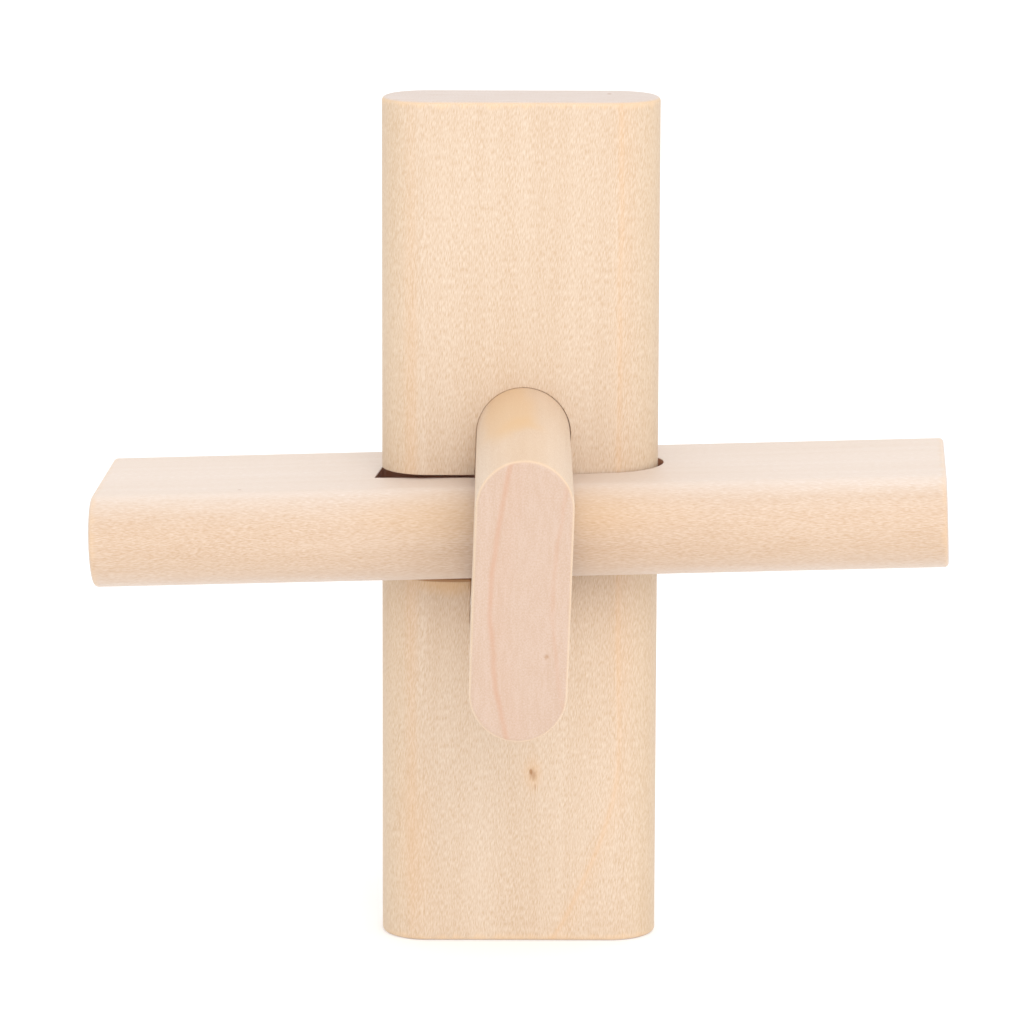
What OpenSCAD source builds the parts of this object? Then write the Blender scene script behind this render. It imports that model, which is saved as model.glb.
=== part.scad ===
// Three-board interlocking puzzle. Three flat boards with full-round edges cross at right
// angles, and each board passes through the window of the next one. The upright board stands
// on its lower end, and the origin is the middle of that end. X runs along the cross board,
// Y along the through board (its front end is at -Y) and Z up the upright board.

/* [Boards] */
// Thickness of every board
board_t = 8.7; // [7:0.1:10.5]
// Length of the upright board
upright_l = 80; // [66:1:120]
// Width of the upright board
upright_w = 25.9; // [21:0.1:32]
// Length of the cross board
cross_l = 79.4; // [66:0.1:120]
// Width of the cross board
cross_w = 25.9; // [21:0.1:32]
// Length of the through board
through_l = 80; // [66:1:120]
// Width of the through board
through_w = 25.3; // [21:0.1:32]
// Radius that softens the arris round both ends of a board
arris_r = 0.6; // [0.3:0.1:1.2]

/* [Windows] */
// Play above and below the cross board, in the upright board's notch and the through
// board's window
side_play = 0.6; // [0.4:0.05:1]
// Play on each flat side of the through board in the upright board's window
upright_side_play = 0.12; // [0.1:0.01:0.5]
// Play at each end of the upright board's window, where the through board passes
upright_end_play = 0.7; // [0.7:0.05:1.5]
// Play on each flat side of the upright board in the cross board's window
cross_side_play = 0.25; // [0.2:0.01:0.6]
// Play at each end of the cross board's window, where the upright board passes
cross_end_play = 0.6; // [0.5:0.05:1.5]
// Play at each end of the through board's window, where the cross board passes
through_end_play = 2; // [2:0.05:2.5]
// How far the middle of the cross board's window lies towards -X from the board's middle
cross_window_off = 0.25; // [0:0.05:0.5]
// Play on each side of the upright board's rail in the cross board's notch
release_play = 0.35; // [0.35:0.01:0.7]
// Lean of the square end of the cross board's window
square_end_lean = 7; // [0:1:10]
// Lean of that window's front wall, from the notch to the square end
front_wall_lean = 10; // [0:1:12]
// The cross board's window is cut out of square by this angle, so that the board lies turned
cross_turn = 3.2; // [0:0.1:3.2]
// The upright board's window is cut out of square by this angle, so that the through board
// leans towards +X
through_lean = 1.9; // [0:0.1:3]

/* [How the boards lie in their play] */
// Share of the side play that the cross board's tilt takes up, with its +X end higher
cross_tilt_share = 0.83; // [0:0.01:0.83]
// Share of the side play by which the cross board rises
cross_rise_share = 1; // [0:0.05:1]
// Share of the end play by which the cross board sits towards +X
cross_side_share = 0.58; // [0:0.01:0.8]
// Share of its window's side play by which the cross board sits towards +Y, and the through
// board with it
back_share = 0.4; // [0:0.05:0.4]
// Share of the end play by which the through board rises
through_rise_share = 0.86; // [0.3:0.01:0.86]

/* [Hidden] */

$fn = 96;
// Height of the upright board's notch and of the through board's window
slot_w = board_t + 2 * side_play;
// Width of the upright board's window, and of its rail beside that
upright_slot_w = board_t + 2 * upright_side_play;
upright_rail_w = (upright_w - upright_slot_w) / 2;
// Width of the cross board's window
cross_slot_w = board_t + 2 * cross_side_play;
// Length of the cross board's notch, which that rail comes out through
release_l = upright_rail_w + 2 * release_play;
// How far a cutting solid runs past the board that it cuts
overrun = 2;

// Height of the middle of the puzzle above the lower end of the upright board
middle_z = upright_l / 2;
cross_tilt = asin(cross_tilt_share * side_play / (upright_w / 2));
cross_middle = [
    cross_side_share * cross_end_play,
    back_share * cross_side_play,
    middle_z + cross_rise_share * side_play
];
through_middle = [
    0,
    back_share * cross_side_play,
    middle_z + through_rise_share * upright_end_play
];

// Half of a board's thickness along its length, from its middle out, with the arrises rounded
module half_profile(l) {
    flat_x = board_t / 2 - arris_r;
    flat_y = l / 2 - arris_r;
    translate([0, -l / 2])
        square([flat_x, l]);
    translate([0, -flat_y])
        square([board_t / 2, 2 * flat_y]);
    for (end = [-1, 1])
        translate([flat_x, end * flat_y])
            circle(r = arris_r);
}

// Full-round edge of a board, turned about the edge's own axis along Z
module round_edge(l) {
    rotate_extrude(angle = 180)
        half_profile(l);
}

// A board without its window: length along Z, width along X, thickness along Y
module plain_board(l, w) {
    flat_w = w - board_t;
    rotate([90, 0, 90])
        linear_extrude(flat_w, center = true)
            for (face = [0, 1])
                mirror([face, 0])
                    half_profile(l);
    for (side = [-1, 1])
        translate([side * flat_w / 2, 0, 0])
            rotate(side * -90)
                round_edge(l);
}

// Window of length l along Z and width w along X, with full-round ends
module window(l, w) {
    reach = (l - w) / 2;
    rotate([90, 0, 0])
        linear_extrude(board_t + 2 * overrun, center = true) {
            square([w, 2 * reach], center = true);
            for (end = [-1, 1])
                translate([0, end * reach])
                    circle(d = w);
        }
}

// The same window, round at the top and cut square below, leaning up towards +X. Past half the
// length of the notch its -X wall leans inwards.
module square_ended_window(l, w) {
    depth = l / 2;
    straight = release_l / 2;
    inset = (depth - straight) * tan(front_wall_lean);
    rise = (w - inset) * tan(square_end_lean);
    intersection() {
        window(l, w);
        translate([-w, -board_t, 0])
            cube([2 * w, 2 * board_t, l]);
    }
    rotate([90, 0, 0])
        linear_extrude(board_t + 2 * overrun, center = true)
            polygon([
                [-w / 2, overrun],
                [-w / 2, -straight],
                [inset - w / 2, -depth],
                [w / 2, rise - depth],
                [w / 2, overrun]
            ]);
}

// Notch of length l along Z, which opens a window to one edge of a board of width w
module notch(w, l, side) {
    translate([side * (w / 4 + overrun / 2), 0, 0])
        cube([w / 2 + overrun, board_t + 2 * overrun, l], center = true);
}

// Stands upright; its window holds the through board, and its notch lets the cross board slide
module upright_board() {
    color("burlywood")
        translate([0, 0, middle_z])
            difference() {
                plain_board(upright_l, upright_w);
                rotate([0, through_lean, 0])
                    window(through_w + 2 * upright_end_play, upright_slot_w);
                notch(upright_w, slot_w, -1);
            }
}

// Lies across; its window holds the upright board, and its notch lets that board out
module cross_board() {
    color("antiquewhite")
        translate(cross_middle)
            rotate([0, -cross_tilt, 0])
                rotate(-cross_turn)
                    rotate(a = 120, v = [1, 1, 1])
                        difference() {
                            plain_board(cross_l, cross_w);
                            rotate([0, cross_turn, 0]) {
                                translate([0, 0, -cross_window_off])
                                    square_ended_window(upright_w + 2 * cross_end_play, cross_slot_w);
                                notch(cross_w, release_l, 1);
                            }
                        }
}

// Runs front to back; its plain window holds the cross board
module through_board() {
    color("bisque")
        translate(through_middle)
            rotate([0, through_lean, 0])
                rotate(a = 240, v = [1, 1, 1])
                    difference() {
                        plain_board(through_l, through_w);
                        window(cross_w + 2 * through_end_play, slot_w);
                    }
}

upright_board();
cross_board();
through_board();
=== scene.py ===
import math

import bmesh
import bpy
from mathutils import Euler, Matrix, Vector


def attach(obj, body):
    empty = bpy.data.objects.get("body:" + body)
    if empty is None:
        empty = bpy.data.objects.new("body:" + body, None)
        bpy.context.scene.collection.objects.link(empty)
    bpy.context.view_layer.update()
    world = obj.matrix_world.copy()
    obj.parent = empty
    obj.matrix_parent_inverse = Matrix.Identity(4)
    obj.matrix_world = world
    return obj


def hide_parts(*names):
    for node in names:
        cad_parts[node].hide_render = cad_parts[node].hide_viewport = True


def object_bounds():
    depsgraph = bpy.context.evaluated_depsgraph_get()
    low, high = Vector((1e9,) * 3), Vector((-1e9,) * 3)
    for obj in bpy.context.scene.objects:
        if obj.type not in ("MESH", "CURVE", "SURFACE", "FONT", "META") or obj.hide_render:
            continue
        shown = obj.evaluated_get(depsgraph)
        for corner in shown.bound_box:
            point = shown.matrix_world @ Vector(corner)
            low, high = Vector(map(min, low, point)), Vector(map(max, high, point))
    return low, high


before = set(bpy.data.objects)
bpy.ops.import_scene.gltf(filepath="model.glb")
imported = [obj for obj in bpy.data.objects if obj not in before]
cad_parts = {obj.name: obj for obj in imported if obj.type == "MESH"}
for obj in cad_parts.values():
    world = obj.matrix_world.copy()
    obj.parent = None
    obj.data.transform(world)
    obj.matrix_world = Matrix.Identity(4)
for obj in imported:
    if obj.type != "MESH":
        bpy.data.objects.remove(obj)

# Three pale boards with full-round edges, each passed through the window of the next one.
# The boards are cut here at the sizes of the CAD boards and laid where those lie. Only the arrises,
# the fit of the upright board's window and the tilted board's length differ, by up to a fifth of a
# millimetre.

cad_low, cad_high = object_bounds()
MM = 0.001

# Boards, in millimetres
BOARD_T = 8.7
END_ARRIS = 0.42
MOUTH_ARRIS = 0.08
# A tilted board with a crisper arris would reach past its CAD board by about this much
TILT_ALLOWANCE = 0.03
UPRIGHT_L, UPRIGHT_W = 80.0, 25.9
CROSS_L, CROSS_W = 79.4 - TILT_ALLOWANCE, 25.9
THROUGH_L, THROUGH_W = 80.0, 25.3
# The broad face of a board that its own frame calls the front
FRONT_FACE = -BOARD_T / 2

# Windows and notches, in millimetres
SIDE_PLAY = 0.6
UPRIGHT_SIDE_PLAY, UPRIGHT_END_PLAY = 0.12, 0.7
CROSS_SIDE_PLAY, CROSS_END_PLAY = 0.25, 0.6
THROUGH_END_PLAY = 2.0
RELEASE_PLAY = 0.35
SLOT_W = BOARD_T + 2 * SIDE_PLAY
UPRIGHT_SLOT_W = BOARD_T + 2 * UPRIGHT_SIDE_PLAY
UPRIGHT_RAIL_W = (UPRIGHT_W - UPRIGHT_SLOT_W) / 2
CROSS_SLOT_W = BOARD_T + 2 * CROSS_SIDE_PLAY
CROSS_WINDOW_OFF = 0.25
RELEASE_L = UPRIGHT_RAIL_W + 2 * RELEASE_PLAY
SQUARE_END_LEAN = math.radians(7)
FRONT_WALL_LEAN = math.radians(10)
# Raised fibres on the walls of the upright board's window close its play by this much
CLOSE_FIT = 0.08
# How far a cutter reaches past the board that it cuts
OVERRUN = 2.0
MIDDLE_Z = UPRIGHT_L / 2

# How the two crossing boards lie in their windows, as angles and as shares of the play there
CROSS_TURN = math.radians(3.2)
THROUGH_LEAN = math.radians(1.9)
CROSS_TILT_SHARE = 0.83
CROSS_SIDE_SHARE = 0.58
BACK_SHARE = 0.4
THROUGH_RISE_SHARE = 0.86
CROSS_TILT = math.asin(CROSS_TILT_SHARE * SIDE_PLAY / (UPRIGHT_W / 2))
BACK = BACK_SHARE * CROSS_SIDE_PLAY
CROSS_MIDDLE = Vector((CROSS_SIDE_SHARE * CROSS_END_PLAY, BACK, MIDDLE_Z + SIDE_PLAY))
THROUGH_MIDDLE = Vector((0, BACK, MIDDLE_Z + THROUGH_RISE_SHARE * UPRIGHT_END_PLAY))

# Camera: a long lens, a little above the middle of the puzzle
CAMERA_PLACE = Vector((-2.479, -552.779, 152.851))
CAMERA_PITCH, CAMERA_ROLL, CAMERA_YAW = -11.48, -0.181, -0.18
CAMERA_LENS = 210.7


def make_camera():
    data = bpy.data.cameras.new("camera")
    data.lens = CAMERA_LENS
    data.sensor_width = 36
    data.clip_start, data.clip_end = 0.01, 50
    camera = bpy.data.objects.new("camera", data)
    bpy.context.scene.collection.objects.link(camera)
    turned = Euler([math.radians(a) for a in (CAMERA_PITCH, CAMERA_ROLL, CAMERA_YAW)], "YXZ")
    level = Matrix.Rotation(math.radians(90), 3, "X")
    camera.matrix_world = Matrix.Translation(CAMERA_PLACE * MM) @ (turned.to_matrix() @ level).to_4x4()
    bpy.context.scene.camera = camera


make_camera()

# ---------------------------------------------------------------- where each board lies

# From a board's own frame (width X, thickness Y, length Z) to the row frame, in millimetres
UPRIGHT_PLACE = Matrix.Translation((0, 0, MIDDLE_Z))
CROSS_PLACE = (
    Matrix.Translation(CROSS_MIDDLE)
    @ Matrix.Rotation(-CROSS_TILT, 4, "Y")
    @ Matrix.Rotation(-CROSS_TURN, 4, "Z")
    @ Matrix.Rotation(math.radians(120), 4, Vector((1, 1, 1)))
)
THROUGH_PLACE = (
    Matrix.Translation(THROUGH_MIDDLE)
    @ Matrix.Rotation(THROUGH_LEAN, 4, "Y")
    @ Matrix.Rotation(math.radians(240), 4, Vector((1, 1, 1)))
)

# Two windows are cut a little out of square, turned or shifted in their board's own frame
UPRIGHT_WINDOW_PLACE = Matrix.Rotation(THROUGH_LEAN, 4, "Y")
CROSS_NOTCH_PLACE = Matrix.Rotation(CROSS_TURN, 4, "Y")
CROSS_WINDOW_PLACE = CROSS_NOTCH_PLACE @ Matrix.Translation((0, 0, -CROSS_WINDOW_OFF))

# ---------------------------------------------------------------- cutting the boards

ROUND_STEPS = 22
CUTTER_STEPS = 18
END_ARRIS_STEPS = 6
MOUTH_ARRIS_STEPS = 3
# Points closer than this are one point
WELD = 1e-4
# Edges that turn more than this are mouths of cuts, and get their arris
MOUTH_ANGLE = math.radians(40)


def bevel(bm, edges, offset, segments):
    return bmesh.ops.bevel(
        bm, geom=edges, offset=offset, segments=segments, profile=0.5,
        affect="EDGES", material=-1, clamp_overlap=False, loop_slide=True,
    )


def runs_along(edge, axis):
    run = edge.verts[1].co - edge.verts[0].co
    return abs(run[axis]) > 0.99 * run.length


def block(size, middle=(0, 0, 0)):
    bm = bmesh.new()
    bmesh.ops.create_cube(bm, size=1)
    bmesh.ops.scale(bm, vec=size, verts=bm.verts)
    bmesh.ops.translate(bm, vec=middle, verts=bm.verts)
    return bm


def blank(width, length):
    """A board before its window is cut: full-round long edges and softened ends."""
    bm = block((width, BOARD_T, length))
    bevel(bm, [e for e in bm.edges if runs_along(e, 2)], BOARD_T / 2, ROUND_STEPS)
    bmesh.ops.remove_doubles(bm, verts=bm.verts, dist=WELD)
    rims = [
        e for e in bm.edges
        if not runs_along(e, 2) and abs(abs(e.verts[0].co.z) - length / 2) < WELD
    ]
    bevel(bm, rims, END_ARRIS, END_ARRIS_STEPS)
    return bm


def window_cutter(length, width):
    bm = block((width, BOARD_T + 2 * OVERRUN, length))
    bevel(bm, [e for e in bm.edges if runs_along(e, 1)], width / 2, CUTTER_STEPS)
    bmesh.ops.remove_doubles(bm, verts=bm.verts, dist=WELD)
    return bm


def square_ended_cutter(length, width):
    """Round at +Z and cut square at -Z. Past the notch its front wall leans inwards."""
    bm = block((width, BOARD_T + 2 * OVERRUN, length))
    top = [e for e in bm.edges if runs_along(e, 1) and e.verts[0].co.z > 0]
    bevel(bm, top, width / 2, CUTTER_STEPS)
    bmesh.ops.remove_doubles(bm, verts=bm.verts, dist=WELD)
    straight = RELEASE_L / 2
    bmesh.ops.bisect_plane(
        bm, geom=bm.verts[:] + bm.edges[:] + bm.faces[:], plane_co=(0, 0, -straight),
        plane_no=(0, 0, 1),
    )
    inset = (length / 2 - straight) * math.tan(FRONT_WALL_LEAN)
    rise = (width - inset) * math.tan(SQUARE_END_LEAN)
    foot = [v for v in bm.verts if v.co.z < -straight - WELD]
    front = [v for v in foot if v.co.x < 0]
    rear = [v for v in foot if v.co.x > 0]
    bmesh.ops.translate(bm, vec=(inset, 0, 0), verts=front)
    bmesh.ops.translate(bm, vec=(0, 0, rise), verts=rear)
    return bm


def notch_cutter(width, length, side):
    reach = width / 2 + OVERRUN
    return block((reach, BOARD_T + 2 * OVERRUN, length), (side * reach / 2, 0, 0))


def placed(cutter, place):
    bmesh.ops.transform(cutter, matrix=place, verts=cutter.verts)
    return cutter


def as_object(bm, name):
    bmesh.ops.recalc_face_normals(bm, faces=bm.faces)
    mesh = bpy.data.meshes.new(name)
    bm.to_mesh(mesh)
    bm.free()
    piece = bpy.data.objects.new(name, mesh)
    bpy.context.scene.collection.objects.link(piece)
    return piece


def cut_board(name, width, length, cutters):
    """Cuts the window and notch out of a blank, in millimetres, and marks the walls of the cuts."""
    board = as_object(blank(width, length), name)
    tools = [as_object(cutter, "cutter") for cutter in cutters]
    for tool in tools:
        cut = board.modifiers.new("cut", "BOOLEAN")
        cut.operation, cut.solver, cut.object = "DIFFERENCE", "EXACT", tool
    graph = bpy.context.evaluated_depsgraph_get()
    bm = bmesh.new()
    bm.from_mesh(board.evaluated_get(graph).to_mesh())
    board.modifiers.clear()
    for tool in tools:
        spent = tool.data
        bpy.data.objects.remove(tool)
        bpy.data.meshes.remove(spent)
    bmesh.ops.remove_doubles(bm, verts=bm.verts, dist=WELD)
    bmesh.ops.dissolve_degenerate(bm, edges=bm.edges, dist=WELD)
    sharp = [
        e for e in bm.edges
        if e.is_manifold and e.is_convex and e.calc_face_angle() > MOUTH_ANGLE
    ]
    bevel(bm, sharp, MOUTH_ARRIS, MOUTH_ARRIS_STEPS)
    bmesh.ops.remove_doubles(bm, verts=bm.verts, dist=WELD)
    bmesh.ops.dissolve_degenerate(bm, edges=bm.edges, dist=WELD)
    bm.normal_update()
    wall = bm.faces.layers.float.new("cut_wall")
    for face in bm.faces:
        square_on = abs(face.normal.y) < 0.01
        short_of_end = abs(face.calc_center_median().z) < length / 2 - 2 * END_ARRIS
        face[wall] = 1.0 if square_on and short_of_end else 0.0
    return board, bm


def finish_board(board, bm, place, material, body, node):
    bmesh.ops.transform(bm, matrix=Matrix.Scale(MM, 4) @ place, verts=bm.verts)
    bmesh.ops.recalc_face_normals(bm, faces=bm.faces)
    for face in bm.faces:
        face.smooth = True
    bm.to_mesh(board.data)
    bm.free()
    even = board.modifiers.new("even normals", "WEIGHTED_NORMAL")
    even.mode, even.weight, even.keep_sharp = "FACE_AREA", 50, True
    board.data.materials.append(material)
    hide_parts(node)
    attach(board, body)


# ---------------------------------------------------------------- node helpers


class Sheet:
    """Adds nodes to one tree and joins them as they come."""

    def __init__(self, tree):
        self.tree = tree

    def add(self, kind, inputs=(), **settings):
        node = self.tree.nodes.new(kind)
        for name, value in settings.items():
            setattr(node, name, value)
        for key, value in dict(inputs).items():
            if isinstance(value, bpy.types.NodeSocket):
                self.tree.links.new(value, node.inputs[key])
            else:
                node.inputs[key].default_value = value
        return node

    def math(self, operation, a, b=0.0, c=0.0):
        return self.add("ShaderNodeMath", {0: a, 1: b, 2: c}, operation=operation).outputs[0]

    def vector(self, operation, a, b=(0, 0, 0), output=0):
        node = self.add("ShaderNodeVectorMath", {0: a, 1: b}, operation=operation)
        return node.outputs[output]

    def split(self, vector):
        return self.add("ShaderNodeSeparateXYZ", {0: vector}).outputs

    def join(self, x, y, z):
        return self.add("ShaderNodeCombineXYZ", {0: x, 1: y, 2: z}).outputs[0]

    def ease(self, value, low, high, to_low=0.0, to_high=1.0):
        node = self.add(
            "ShaderNodeMapRange", {0: value, 1: low, 2: high, 3: to_low, 4: to_high},
            interpolation_type="SMOOTHSTEP",
        )
        return node.outputs[0]

    def noise(self, vector, scale, detail=2.0, roughness=0.5):
        """Noise about zero, stretched by a scale per axis in cycles per millimetre."""
        node = self.add(
            "ShaderNodeTexNoise",
            {"Vector": self.vector("MULTIPLY", vector, scale), "Scale": 1.0,
             "Detail": detail, "Roughness": roughness},
        )
        return self.math("SUBTRACT", node.outputs[0], 0.5)

    def mix(self, share, a, b, blend="MIX"):
        node = self.add("ShaderNodeMix", {0: share, 6: a, 7: b}, data_type="RGBA", blend_type=blend)
        return node.outputs[2]

    def group(self, tree, inputs):
        return self.add("ShaderNodeGroup", inputs, node_tree=tree).outputs


def new_group(name, inputs, outputs):
    """An empty node group with the sockets named; returns its tree, sheet, inputs and output node."""
    tree = bpy.data.node_groups.new(name, "ShaderNodeTree")
    for socket, kind in inputs.items():
        tree.interface.new_socket(socket, in_out="INPUT", socket_type=kind)
    for socket, kind in outputs.items():
        tree.interface.new_socket(socket, in_out="OUTPUT", socket_type=kind)
    sheet = Sheet(tree)
    given = sheet.add("NodeGroupInput").outputs
    result = sheet.add("NodeGroupOutput")
    return tree, sheet, given, result


FLOAT, VECTOR, COLOUR = "NodeSocketFloat", "NodeSocketVector", "NodeSocketColor"

# ---------------------------------------------------------------- effects that the boards share


def fibre_group():
    """Short flecks that lie along the grain, with slower bands under them."""
    tree, s, given, result = new_group(
        "wood fibres",
        {"Vector": VECTOR, "Lean": FLOAT},
        {"Fleck": FLOAT, "Streak": FLOAT, "Cloud": FLOAT},
    )
    x, y, z = s.split(given["Vector"])
    sway = s.math("MULTIPLY", s.noise(given["Vector"], (0.12, 0.12, 0.03), 1.0), 2.4)
    leaning = s.math("ADD", s.math("MULTIPLY_ADD", z, given["Lean"], x), sway)
    along = s.join(leaning, y, z)
    fine = s.noise(along, (14.0, 14.0, 1.9), 1.0, 0.5)
    coarse = s.noise(along, (2.6, 2.6, 0.5), 1.0, 0.5)
    fleck = s.math("ADD", fine, s.math("MULTIPLY", coarse, 0.06))
    streak = s.noise(s.join(s.math("ADD", x, sway), y, z), (0.75, 0.75, 0.02), 2.0, 0.55)
    cloud = s.noise(given["Vector"], (0.11, 0.11, 0.035), 2.0, 0.5)
    s.tree.links.new(fleck, result.inputs["Fleck"])
    s.tree.links.new(streak, result.inputs["Streak"])
    s.tree.links.new(cloud, result.inputs["Cloud"])
    return tree


def ring_group():
    """One growth ring: the line where a cylinder about the pith meets the board."""
    tree, s, given, result = new_group(
        "growth ring",
        {"Vector": VECTOR, "Pith": VECTOR, "Radius": FLOAT, "Width": FLOAT, "Wobble": FLOAT},
        {"Line": FLOAT},
    )
    away = s.vector("MULTIPLY", s.vector("SUBTRACT", given["Vector"], given["Pith"]), (1, 1, 0))
    wobble = s.math("MULTIPLY", s.noise(given["Vector"], (0.16, 0.16, 0.06), 2.0), given["Wobble"])
    off = s.math(
        "SUBTRACT",
        s.math("ADD", s.vector("LENGTH", away, output=1), wobble),
        given["Radius"],
    )
    share = s.math("DIVIDE", s.math("ABSOLUTE", off), given["Width"])
    line = s.ease(share, 0.0, 1.0, 1.0, 0.0)
    broken = s.ease(s.noise(given["Vector"], (0.5, 0.5, 0.12), 2.0), -0.3, 0.1, 0.45, 1.0)
    s.tree.links.new(s.math("MULTIPLY", line, broken), result.inputs["Line"])
    return tree


def scorch_group():
    """Uneven brown left by the cutter on the walls of a cut, which the mesh marks."""
    tree, s, given, result = new_group(
        "scorched cut", {"Vector": VECTOR, "Wall": FLOAT}, {"Mask": FLOAT}
    )
    uneven = s.ease(s.noise(given["Vector"], (0.5, 0.5, 0.5), 3.0), -0.3, 0.2, 0.6, 1.0)
    s.tree.links.new(s.math("MULTIPLY", given["Wall"], uneven), result.inputs["Mask"])
    return tree


def end_grain_group():
    """How far a surface faces along the grain, and the pores that show there."""
    tree, s, given, result = new_group(
        "end grain",
        {"Vector": VECTOR, "Normal": VECTOR, "Grain": VECTOR},
        {"Mask": FLOAT, "Pores": FLOAT},
    )
    facing = s.math("ABSOLUTE", s.vector("DOT_PRODUCT", given["Normal"], given["Grain"], output=1))
    pores = s.math(
        "ADD",
        s.math("MULTIPLY", s.noise(given["Vector"], (6.5, 6.5, 1.0), 2.0, 0.6), 1.35),
        s.math("MULTIPLY", s.noise(given["Vector"], (0.5, 2.2, 0.1), 2.0), 0.6),
    )
    s.tree.links.new(s.ease(facing, 0.55, 0.97), result.inputs["Mask"])
    s.tree.links.new(pores, result.inputs["Pores"])
    return tree


def mark_group():
    """A round or oval mark: a pin knot, a pit or a stain, and also patches of painted shade and of
    painted warm bounce light.
    """
    tree, s, given, result = new_group(
        "mark",
        {"Vector": VECTOR, "Middle": VECTOR, "Half Size": VECTOR, "Edge": FLOAT, "Ragged": FLOAT},
        {"Mask": FLOAT},
    )
    off = s.vector("DIVIDE", s.vector("SUBTRACT", given["Vector"], given["Middle"]), given["Half Size"])
    rag = s.math("MULTIPLY", s.noise(off, (1.6, 1.6, 1.6), 2.0), given["Ragged"])
    out = s.math("ADD", s.vector("LENGTH", off, output=1), rag)
    low = s.math("SUBTRACT", 1.0, given["Edge"])
    s.tree.links.new(s.ease(out, low, 1.0, 1.0, 0.0), result.inputs["Mask"])
    return tree


def arris_group():
    """The softened arris round both ends of a board, by distance from the middle of its length."""
    tree, s, given, result = new_group(
        "softened arris",
        {"Vector": VECTOR, "Half Length": FLOAT, "Reach": FLOAT},
        {"Mask": FLOAT},
    )
    z = s.math("ABSOLUTE", s.split(given["Vector"])[2])
    from_end = s.math("SUBTRACT", given["Half Length"], z)
    ragged = s.math("MULTIPLY_ADD", s.noise(given["Vector"], (0.9, 0.9, 0.3), 2.0), 1.4, from_end)
    s.tree.links.new(
        s.ease(s.math("DIVIDE", ragged, given["Reach"]), 0.15, 1.0, 1.0, 0.0),
        result.inputs["Mask"],
    )
    return tree


FIBRES = fibre_group()
RING = ring_group()
SCORCH = scorch_group()
END_GRAIN = end_grain_group()
MARK = mark_group()
ARRIS = arris_group()

# ---------------------------------------------------------------- wood colours (linear)

UPRIGHT_FACE = (0.592, 0.452, 0.330, 1)
UPRIGHT_EDGE = (0.595, 0.450, 0.312, 1)
# The cross board's broad faces, its top among them, are paler and pinker than its edges: painted sheen,
# for the white gloss on its top
CROSS_FACE_WITH_SHEEN = (0.685, 0.573, 0.490, 1)
CROSS_EDGE = (0.570, 0.418, 0.302, 1)
THROUGH_FACE = (0.640, 0.490, 0.360, 1)
THROUGH_EDGE = (0.655, 0.490, 0.352, 1)
END_PINK = (0.518, 0.372, 0.284, 1)
END_PALE = (0.600, 0.502, 0.444, 1)
END_BROWN = (0.500, 0.270, 0.170, 1)
RING_ORANGE = (0.640, 0.380, 0.190, 1)
AMBER = (0.680, 0.430, 0.200, 1)
ARRIS_TONE = (0.700, 0.490, 0.300, 1)
# Brown of the knot and the pits, also used for painted shade below the upright board's notch
KNOT_AND_SHADE_BROWN = (0.330, 0.160, 0.060, 1)
SCORCH_BROWN = (0.500, 0.220, 0.130, 1)

# What the palest and the darkest fibres do to the colour round them
PALE_FIBRE = (1.090, 1.150, 1.230, 1)
DARK_FIBRE = (0.900, 0.840, 0.770, 1)

# How much the slow streaks and clouds count beside the fibres
SLOW_SHARE = 0.35
# How far from the end of a board its arris is toned, in millimetres
ARRIS_REACH = 0.75
# The rounding of an edge shows the edge colour only past this much of it
EDGE_START = 0.8


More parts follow.
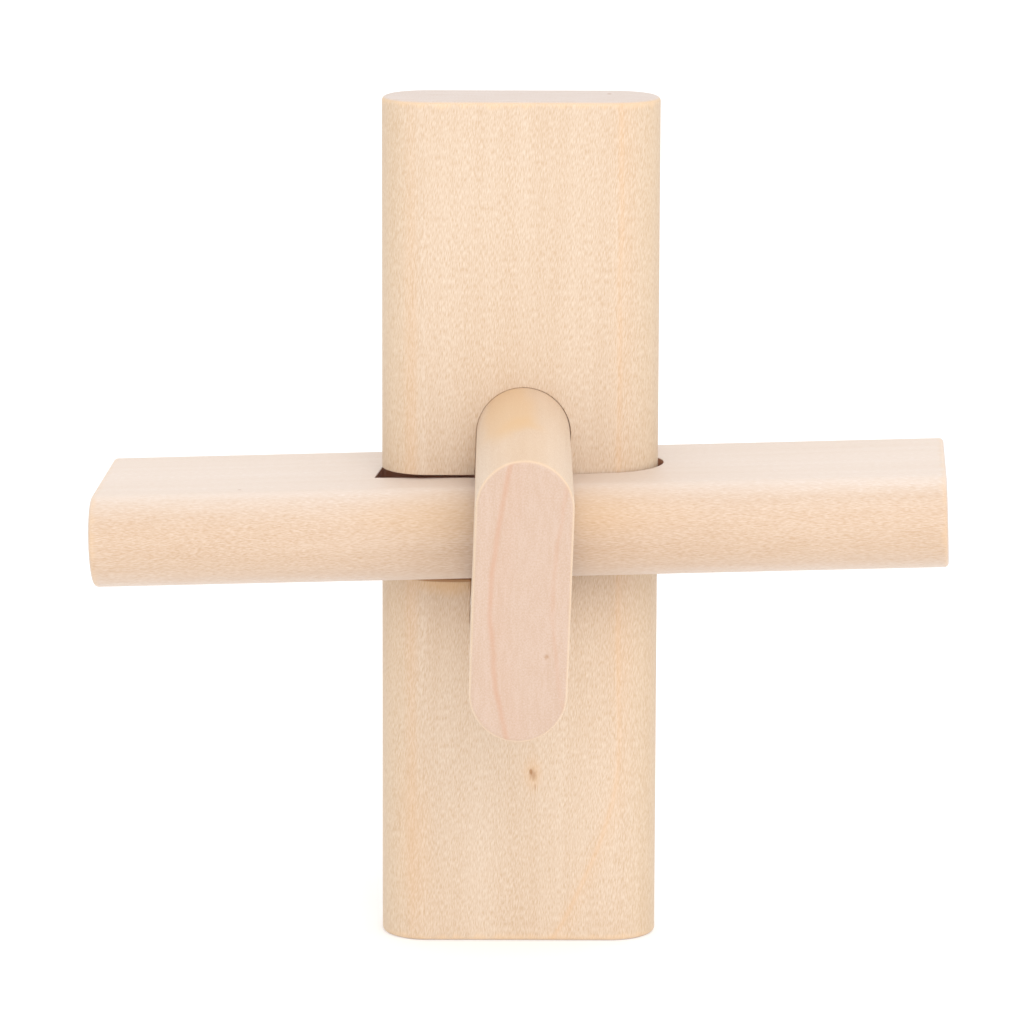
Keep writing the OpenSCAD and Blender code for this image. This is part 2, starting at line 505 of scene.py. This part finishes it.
class Wood:
    """One board's material: its own frame in millimetres, its colour so far and its relief."""

    def __init__(self, name, place, size, lean, seed, fleck, arris_share, colours):
        width, length = size
        face_fleck, edge_fleck = fleck
        face_colour, edge_colour, end_colour = colours
        self.material = bpy.data.materials.new(name)
        self.material.use_nodes = True
        tree = self.material.node_tree
        tree.nodes.clear()
        self.s = s = Sheet(tree)
        back = place.inverted()
        source = s.add("ShaderNodeTexCoord").outputs
        self.own = s.add(
            "ShaderNodeMapping",
            {"Vector": source["Object"], "Location": back.translation,
             "Rotation": back.to_euler("XYZ"), "Scale": (1 / MM,) * 3},
        ).outputs[0]
        shifted = s.vector("ADD", self.own, seed)
        grain = place.to_3x3() @ Vector((0, 0, 1))
        fibres = s.group(FIBRES, {"Vector": shifted, "Lean": lean})
        self.fleck, streak, cloud = fibres
        out = s.math("ABSOLUTE", s.split(self.own)[0])
        on_edge = s.ease(out, (width - BOARD_T) / 2 + EDGE_START, width / 2)
        strength = s.math("MULTIPLY_ADD", on_edge, edge_fleck - face_fleck, face_fleck)
        tone = s.math("MULTIPLY", self.fleck, strength)
        tone = s.math("MULTIPLY_ADD", streak, SLOW_SHARE, tone)
        tone = s.math("MULTIPLY_ADD", cloud, SLOW_SHARE, tone)
        self.colour = s.mix(on_edge, face_colour, edge_colour)
        self.colour = s.mix(s.ease(tone, 0.0, 0.35), self.colour, PALE_FIBRE, "MULTIPLY")
        self.colour = s.mix(s.ease(tone, -0.4, 0.0, 1.0, 0.0), self.colour, DARK_FIBRE, "MULTIPLY")
        ends = s.group(
            END_GRAIN, {"Vector": shifted, "Normal": source["Normal"], "Grain": grain}
        )
        self.end_mask, pores = ends
        end_tone = s.mix(s.ease(pores, -0.3, 0.3), DARK_FIBRE, PALE_FIBRE)
        end_tone = s.mix(0.5, end_colour, end_tone, "MULTIPLY")
        self.colour = s.mix(self.end_mask, self.colour, end_tone)
        self.relief = s.math("MULTIPLY", self.fleck, 0.5)
        self.rough = s.math("MULTIPLY_ADD", self.fleck, 0.10, 0.50)
        arris = s.group(
            ARRIS, {"Vector": self.own, "Half Length": length / 2, "Reach": ARRIS_REACH}
        )[0]
        self.off_end = s.math("SUBTRACT", 1.0, self.end_mask)
        self.tint(s.math("MULTIPLY", arris, self.off_end), ARRIS_TONE, arris_share)

    def tint(self, mask, colour, share):
        self.colour = self.s.mix(self.s.math("MULTIPLY", mask, share), self.colour, colour)

    def end_ring(self, pith, radius, width, share):
        line = self.s.group(
            RING,
            {"Vector": self.own, "Pith": pith, "Radius": radius, "Width": width, "Wobble": 1.0},
        )[0]
        self.tint(self.s.math("MULTIPLY", line, self.end_mask), END_BROWN, share)

    def mark(self, middle, half_size, colour, share, edge=0.6, ragged=0.5, depth=0.0):
        mask = self.s.group(
            MARK,
            {"Vector": self.own, "Middle": middle, "Half Size": half_size, "Edge": edge,
             "Ragged": ragged},
        )[0]
        self.tint(mask, colour, share)
        if depth:
            self.relief = self.s.math("MULTIPLY_ADD", mask, -depth, self.relief)

    def done(self):
        s = self.s
        wall = s.add("ShaderNodeAttribute", attribute_name="cut_wall").outputs["Fac"]
        mask = s.group(SCORCH, {"Vector": self.own, "Wall": wall})[0]
        self.tint(mask, SCORCH_BROWN, 0.9)
        self.rough = s.math("MULTIPLY_ADD", mask, 0.2, self.rough)
        bump = s.add(
            "ShaderNodeBump",
            {"Height": self.relief, "Strength": 0.35, "Distance": 0.06 * MM},
        ).outputs[0]
        shader = s.add(
            "ShaderNodeBsdfPrincipled",
            {"Base Color": self.colour, "Roughness": self.rough, "Normal": bump,
             "Specular IOR Level": 0.45},
        )
        s.add("ShaderNodeOutputMaterial", {"Surface": shader.outputs[0]})
        return self.material


# The upright board's ring is cut near its tangent, so its pith is far off to the left
PITH_FAR = 400
# Below this height, from the middle of the board, the ring sweeps in by rate times depth to the power
SWEEP_Z = -22.3
SWEEP_POWER = 1.7
SWEEP_RATE = 0.048
# Height of the upright board's pin knot above its foot
KNOT_HEIGHT = 16.2


def upright_wood():
    wood = Wood(
        "upright wood", UPRIGHT_PLACE, (UPRIGHT_W, UPRIGHT_L), lean=-0.10,
        seed=(11.0, 4.0, 7.0), fleck=(2.0, 1.9), arris_share=0.5,
        colours=(UPRIGHT_FACE, UPRIGHT_EDGE, END_PALE),
    )
    s = wood.s
    x, y, z = s.split(wood.own)
    # The ring at the right runs straight down and sweeps towards the middle near the foot
    below = s.math("MAXIMUM", s.math("SUBTRACT", SWEEP_Z, z), 0.0)
    drop = s.math("POWER", below, SWEEP_POWER)
    sway = s.math("MULTIPLY", s.noise(wood.own, (0.05, 0.05, 0.05), 2.0), 1.6)
    line = s.math("ADD", s.math("MULTIPLY_ADD", drop, SWEEP_RATE, x), sway)
    swept = s.join(line, y, z)
    for at, width, share in ((9.25, 0.42, 0.24), (9.6, 1.6, 0.12)):
        mask = s.group(
            RING,
            {"Vector": swept, "Pith": (-PITH_FAR, FRONT_FACE, 0), "Radius": PITH_FAR + at,
             "Width": width, "Wobble": 0.0},
        )[0]
        wood.tint(s.math("MULTIPLY", mask, wood.off_end), RING_ORANGE, share)
    # A pin knot below the through board, with a fine dark crack under it
    knot_z = KNOT_HEIGHT - MIDDLE_Z
    wood.mark((1.3, FRONT_FACE, knot_z + 0.1), (1.3, 3, 2.4), RING_ORANGE, 0.35, 0.95, 0.4)
    wood.mark((1.3, FRONT_FACE, knot_z), (0.50, 3, 0.80), KNOT_AND_SHADE_BROWN, 0.55, 0.8, 0.9, 0.8)
    wood.mark((1.1, FRONT_FACE, knot_z + 0.3), (0.20, 3, 0.40), KNOT_AND_SHADE_BROWN, 0.80, 0.6, 0.5, 0.8)
    wood.mark((1.5, FRONT_FACE, knot_z - 1.2), (0.09, 3, 0.55), KNOT_AND_SHADE_BROWN, 0.60, 0.8, 0.6)
    # A soft orange band down the left, wider near the foot
    wood.mark((-10.2, FRONT_FACE, 0), (1.0, 5, 60), RING_ORANGE, 0.22, 0.9, 0.3)
    wood.mark((-10.0, FRONT_FACE, -31), (2.6, 5, 14), RING_ORANGE, 0.20, 0.9, 0.5)
    # The cutter's heat below the notch, as an amber tint, with painted shade beside the through board
    # and just under the cross board
    notch_z = -SLOT_W / 2
    wood.mark((-6.8, FRONT_FACE, notch_z - 0.5), (4.4, 2, 1.6), AMBER, 0.55, 0.9, 0.5)
    # Painted shade: darker brown in the corner beside the through board, under the cross board
    wood.mark((-4.4, FRONT_FACE, notch_z - 0.5), (0.6, 2, 1.2), KNOT_AND_SHADE_BROWN, 0.60, 0.9, 0.5)
    # Painted shade: a dark line in the crease just under the cross board
    wood.mark((-6.3, FRONT_FACE, notch_z - 0.05), (4.4, 2, 0.30), KNOT_AND_SHADE_BROWN, 0.90, 0.4, 0.2)
    # A pit in the upper end
    wood.mark((8.2, 1.6, UPRIGHT_L / 2), (0.30, 0.4, 0.4), KNOT_AND_SHADE_BROWN, 0.60, 0.6, 0.4)
    return wood.done()


def cross_wood():
    # The cross board's face colour carries painted sheen on its top
    wood = Wood(
        "cross wood", CROSS_PLACE, (CROSS_W, CROSS_L), lean=0.05,
        seed=(31.0, 14.0, 9.0), fleck=(0.9, 1.8), arris_share=0.3,
        colours=(CROSS_FACE_WITH_SHEEN, CROSS_EDGE, END_PALE),
    )
    wood.mark((-8.0, BOARD_T / 2, -25.9), (0.20, 0.5, 0.25), KNOT_AND_SHADE_BROWN, 0.50, 0.6, 0.4)
    # Painted warm bounce light: an amber tint on the front edge, on either side of the through board
    wood.mark((-12.0, 2.6, 0), (4.0, 4.0, 19), AMBER, 0.34, 0.9, 0.4)
    return wood.done()


# The middle of the through board's rings, well to the right of the board
THROUGH_PITH = (0.9, 46.9, 0)


def through_wood():
    wood = Wood(
        "through wood", THROUGH_PLACE, (THROUGH_W, THROUGH_L), lean=0.0,
        seed=(5.0, 24.0, 3.0), fleck=(1.6, 1.0), arris_share=0.25,
        colours=(THROUGH_FACE, THROUGH_EDGE, END_PINK),
    )
    for radius, width, share in ((49.5, 0.42, 0.50), (48.6, 1.5, 0.10), (44.2, 0.35, 0.25)):
        wood.end_ring(THROUGH_PITH, radius, width, share)
    # A pit in the front end, and an amber stain along the top with a stronger patch in it
    wood.mark((-4.81, 2.36, -40), (0.35, 0.3, 0.5), KNOT_AND_SHADE_BROWN, 0.5, 0.8, 0.6, 0.8)
    wood.mark((12.65, -1.6, -14), (6, 3.2, 17), AMBER, 0.42, 0.5, 0.5)
    wood.mark((12.65, -0.4, -22.5), (4, 2.6, 4.5), AMBER, 0.40, 0.8, 0.8)
    return wood.done()


# ---------------------------------------------------------------- the three boards

upright, upright_mesh = cut_board(
    "upright_board_shown", UPRIGHT_W, UPRIGHT_L,
    [
        placed(
            window_cutter(
                THROUGH_W + 2 * UPRIGHT_END_PLAY - 2 * CLOSE_FIT, UPRIGHT_SLOT_W - 2 * CLOSE_FIT
            ),
            UPRIGHT_WINDOW_PLACE,
        ),
        notch_cutter(UPRIGHT_W, SLOT_W, -1),
    ],
)
finish_board(
    upright, upright_mesh, UPRIGHT_PLACE, upright_wood(), "upright", "upright_board"
)
cross, cross_mesh = cut_board(
    "cross_board_shown", CROSS_W, CROSS_L,
    [
        placed(
            square_ended_cutter(UPRIGHT_W + 2 * CROSS_END_PLAY, CROSS_SLOT_W), CROSS_WINDOW_PLACE
        ),
        placed(notch_cutter(CROSS_W, RELEASE_L, 1), CROSS_NOTCH_PLACE),
    ],
)
finish_board(cross, cross_mesh, CROSS_PLACE, cross_wood(), "cross", "cross_board")
through, through_mesh = cut_board(
    "through_board_shown", THROUGH_W, THROUGH_L,
    [window_cutter(CROSS_W + 2 * THROUGH_END_PLAY, SLOT_W)],
)
finish_board(
    through, through_mesh, THROUGH_PLACE, through_wood(), "through", "through_board"
)

# ---------------------------------------------------------------- floor and light

FLOOR_SIZE = 8.0


def make_floor():
    bm = bmesh.new()
    bmesh.ops.create_grid(bm, x_segments=4, y_segments=4, size=FLOOR_SIZE / 2)
    bmesh.ops.translate(bm, vec=(0, 0, cad_low.z), verts=bm.verts)
    floor = as_object(bm, "floor")
    material = bpy.data.materials.new("pale floor")
    material.use_nodes = True
    material.node_tree.nodes.clear()
    s = Sheet(material.node_tree)
    place = s.add("ShaderNodeTexCoord").outputs["Object"]
    mottle = s.noise(place, (14, 14, 14), 3.0)
    colour = s.mix(s.ease(mottle, -0.5, 0.5), (0.79, 0.79, 0.79, 1), (0.81, 0.81, 0.81, 1))
    shader = s.add(
        "ShaderNodeBsdfPrincipled",
        {"Base Color": colour, "Roughness": 0.8, "Specular IOR Level": 0.2,
         "Emission Color": (1, 1, 1, 1), "Emission Strength": 0.22},
    )
    s.add("ShaderNodeOutputMaterial", {"Surface": shader.outputs[0]})
    floor.data.materials.append(material)


def soft_box(name, place, size, power):
    data = bpy.data.lights.new(name, "AREA")
    data.shape, data.size, data.energy = "SQUARE", size, power
    lamp = bpy.data.objects.new(name, data)
    bpy.context.scene.collection.objects.link(lamp)
    aim = Vector((0, 0, MIDDLE_Z * MM)) - Vector(place)
    lamp.matrix_world = Matrix.Translation(place) @ aim.to_track_quat("-Z", "Y").to_matrix().to_4x4()


def make_sky():
    world = bpy.data.worlds.new("soft studio")
    world.use_nodes = True
    world.node_tree.nodes.clear()
    s = Sheet(world.node_tree)
    shine = s.add("ShaderNodeBackground", {"Color": (1, 1, 1, 1), "Strength": 1.15})
    s.add("ShaderNodeOutputWorld", {"Surface": shine.outputs[0]})
    bpy.context.scene.world = world


make_floor()
make_sky()
soft_box("key soft box", (0.20, -1.05, 0.78), 0.7, 5.3)
soft_box("low front soft box", (0.10, -1.10, 0.08), 0.6, 2.1)
bpy.context.scene.view_settings.view_transform = "Standard"
